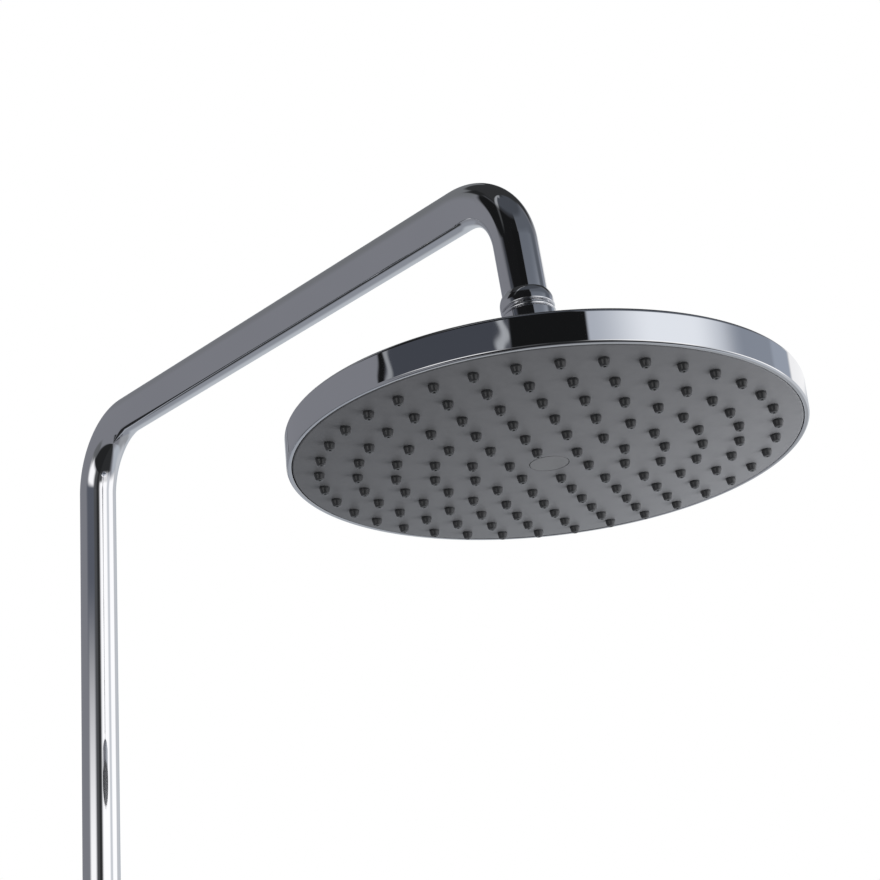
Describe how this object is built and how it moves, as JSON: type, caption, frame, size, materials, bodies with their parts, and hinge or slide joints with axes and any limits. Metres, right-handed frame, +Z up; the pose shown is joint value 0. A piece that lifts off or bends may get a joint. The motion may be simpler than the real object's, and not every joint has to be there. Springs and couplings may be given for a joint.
{
  "type": "shower system",
  "caption": "Chromed wall-held riser tube bent into an arm, with a round overhead shower that turns and tilts on a ball joint and a grey spray plate with rubber nozzles.",
  "frame": {"origin": "centre of the union nut's lower face, on the riser's axis", "axes": "+Z up along the riser, +Y towards the wall, the arm reaches towards -Y"},
  "size_m": [0.24, 0.5951, 0.911],
  "materials": {
    "chrome": "polished chrome on brass",
    "chromed_shell": "polished chrome plating on moulded plastic",
    "brass": "turned",
    "ball_chrome": "polished chrome on brass",
    "spray_plate": "matt grey",
    "nozzle_rubber": "soft moulded",
    "seal_rubber": "moulded",
    "inner_plastic": "moulded",
    "steel": "plain",
    "cap_plastic": "satin grey"
  },
  "bodies": {
    "column": {"riser_pipe": "chrome", "foot_tail": "brass", "union_nut": "chrome", "foot_washer": "seal_rubber", "arm_end_tail": "brass", "arm_nut": "chrome", "arm_washer": "seal_rubber", "swivel_body": "chrome", "inlet_strainer": "steel", "flow_limiter": "inner_plastic", "ball_nut": "chrome", "ball_seal": "seal_rubber", "bracket_base": "steel", "bracket_rosette": "chrome", "bracket_holder": "chrome", "clamp_liner": "inner_plastic", "grub_screws": "steel"},
    "seat": {"ball_seat_ring": "inner_plastic"},
    "head": {"swivel_ball": "ball_chrome", "stem_washer": "seal_rubber", "stem_nut": "brass", "top_shell": "chromed_shell", "distributor_plate": "inner_plastic", "distributor_screws": "steel", "nozzle_mat": "nozzle_rubber", "faceplate": "spray_plate", "centre_screw": "steel", "centre_cap": "cap_plastic"}
  },
  "joints": [
    {"name": "head_turn", "type": "hinge", "parent": "column", "child": "seat", "pos_m": [0, -0.41297, 0.80529], "axis": [0, 0.1357, 0.9907], "continuous": true},
    {"name": "head_tilt", "type": "hinge", "parent": "seat", "child": "head", "pos_m": [0, -0.41297, 0.80529], "axis": [1, 0, 0], "range_deg": [-20.1, 9.9]}
  ]
}
